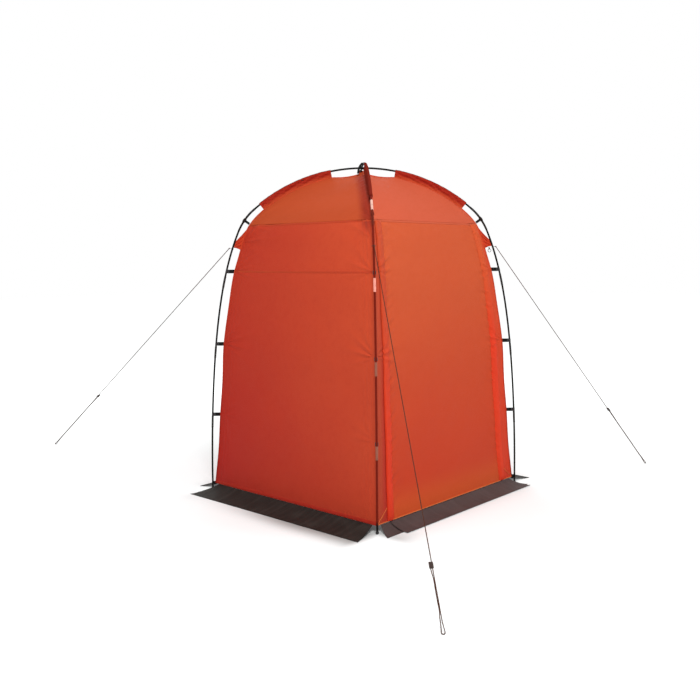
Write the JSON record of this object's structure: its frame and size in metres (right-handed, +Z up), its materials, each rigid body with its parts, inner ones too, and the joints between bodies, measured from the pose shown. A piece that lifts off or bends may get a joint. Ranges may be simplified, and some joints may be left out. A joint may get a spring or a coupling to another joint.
{
  "type": "cabin tent",
  "caption": "Square stand-up utility hut tent: crossed arch poles over a hung fabric cabin with a zipped door, ground skirts and guy lines.",
  "frame": {"origin": "on the ground under the crossing of the two pole arches, at the middle of the floor plan", "axes": "+Z up; the door wall faces -Y; +X is to the right for someone who stands outside and looks at the door"},
  "size_m": [3.4758, 4.7746, 2.2222],
  "materials": {
    "orange_fabric": "flat-woven coated polyester, dull sheen",
    "roof_fabric": "flat-woven coated polyester, dull sheen",
    "sleeve_fabric": "flat-woven coated polyester, dull",
    "skirt_fabric": "coated polyester, dull",
    "black_webbing": "woven tape, dull",
    "pole_fibreglass": "pultruded glass fibre rod, satin",
    "elbow_steel": "powder coated steel tube, satin",
    "ring_steel": "plated steel wire",
    "black_plastic": "moulded",
    "guy_cord": "braided cord",
    "shock_elastic": "covered elastic cord"
  },
  "bodies": {
    "tent": {"wall_left": "orange_fabric", "wall_back": "orange_fabric", "wall_right": "orange_fabric", "wall_band_left": "orange_fabric", "wall_band_back": "orange_fabric", "wall_band_right": "orange_fabric", "door_jamb_left": "orange_fabric", "door_jamb_right": "orange_fabric", "roof_panel_front": "roof_fabric", "roof_panel_right": "roof_fabric", "roof_panel_back": "roof_fabric", "roof_panel_left": "roof_fabric", "pole_sleeve_front_left": "sleeve_fabric", "pole_sleeve_front_right": "sleeve_fabric", "pole_sleeve_back_left": "sleeve_fabric", "pole_sleeve_back_right": "sleeve_fabric", "corner_skirt_left": "skirt_fabric", "corner_skirt_right": "skirt_fabric", "corner_tape_front_left": "black_webbing", "corner_tape_front_right": "black_webbing", "corner_tape_back_left": "black_webbing", "corner_tape_back_right": "black_webbing", "crossing_tie": "black_webbing", "pole_leg_front_left": "pole_fibreglass", "pole_leg_front_right": "pole_fibreglass", "pole_leg_back_left": "pole_fibreglass", "pole_leg_back_right": "pole_fibreglass", "pole_roof_under": "pole_fibreglass", "pole_roof_over": "pole_fibreglass", "pole_elbow_front_left": "elbow_steel", "pole_elbow_front_right": "elbow_steel", "pole_elbow_back_left": "elbow_steel", "pole_elbow_back_right": "elbow_steel", "guy_ring_front_left": "ring_steel", "guy_ring_front_right": "ring_steel", "guy_ring_back_left": "ring_steel", "guy_ring_back_right": "ring_steel", "pole_foot_front_left": "black_plastic", "pole_foot_front_right": "black_plastic", "pole_foot_back_left": "black_plastic", "pole_foot_back_right": "black_plastic", "door_zip_left": "black_plastic", "door_zip_right": "black_plastic", "guy_line_front_left": "guy_cord", "guy_line_front_right": "guy_cord", "guy_line_back_left": "guy_cord", "guy_line_back_right": "guy_cord", "shock_cord_under": "shock_elastic", "shock_cord_over": "shock_elastic"},
    "door": {"door_panel": "orange_fabric"},
    "door_skirt": {"door_skirt": "skirt_fabric"},
    "skirt_left": {"skirt_left": "skirt_fabric"},
    "skirt_right": {"skirt_right": "skirt_fabric"},
    "skirt_back": {"skirt_back": "skirt_fabric"},
    "slider_left": {"zip_slider_left": "black_plastic"},
    "slider_right": {"zip_slider_right": "black_plastic"},
    "runner_front_left": {"guy_runner_front_left": "black_plastic"},
    "runner_front_right": {"guy_runner_front_right": "black_plastic"},
    "runner_back_left": {"guy_runner_back_left": "black_plastic"},
    "runner_back_right": {"guy_runner_back_right": "black_plastic"}
  },
  "joints": [
    {"name": "door_lift", "type": "hinge", "parent": "tent", "child": "door", "pos_m": [0, -0.54282, 1.81207], "axis": [-1, 0, 0], "range_deg": [0, 100]},
    {"name": "door_skirt_lift", "type": "hinge", "parent": "door", "child": "door_skirt", "pos_m": [0, -0.7346, 0.041], "axis": [-1, 0, 0], "range_deg": [0, 70]},
    {"name": "skirt_left_lift", "type": "hinge", "parent": "tent", "child": "skirt_left", "pos_m": [-0.7346, 0, 0.041], "axis": [0, 1, 0], "range_deg": [0, 70]},
    {"name": "skirt_right_lift", "type": "hinge", "parent": "tent", "child": "skirt_right", "pos_m": [0.7346, 0, 0.041], "axis": [0, -1, 0], "range_deg": [0, 70]},
    {"name": "skirt_back_lift", "type": "hinge", "parent": "tent", "child": "skirt_back", "pos_m": [0, 0.7346, 0.041], "axis": [1, 0, 0], "range_deg": [0, 70]},
    {"name": "zip_left_slide", "type": "slide", "parent": "tent", "child": "slider_left", "axis": [0.0342, 0.0593, 0.9977], "range_m": [0, 0.88]},
    {"name": "zip_right_slide", "type": "slide", "parent": "tent", "child": "slider_right", "axis": [-0.0342, 0.0593, 0.9977], "range_m": [0, 0.88]},
    {"name": "runner_front_left_slide", "type": "slide", "parent": "tent", "child": "runner_front_left", "axis": [-0.4169, -0.5279, -0.7399], "range_m": [0, 0.2]},
    {"name": "runner_front_right_slide", "type": "slide", "parent": "tent", "child": "runner_front_right", "axis": [0.5812, -0.2667, -0.7688], "range_m": [0, 0.3]},
    {"name": "runner_back_left_slide", "type": "slide", "parent": "tent", "child": "runner_back_left", "axis": [-0.0304, 0.8119, -0.583], "range_m": [0, 0.3]},
    {"name": "runner_back_right_slide", "type": "slide", "parent": "tent", "child": "runner_back_right", "axis": [0.4774, 0.4684, -0.7434], "range_m": [0, 0.3]}
  ]
}
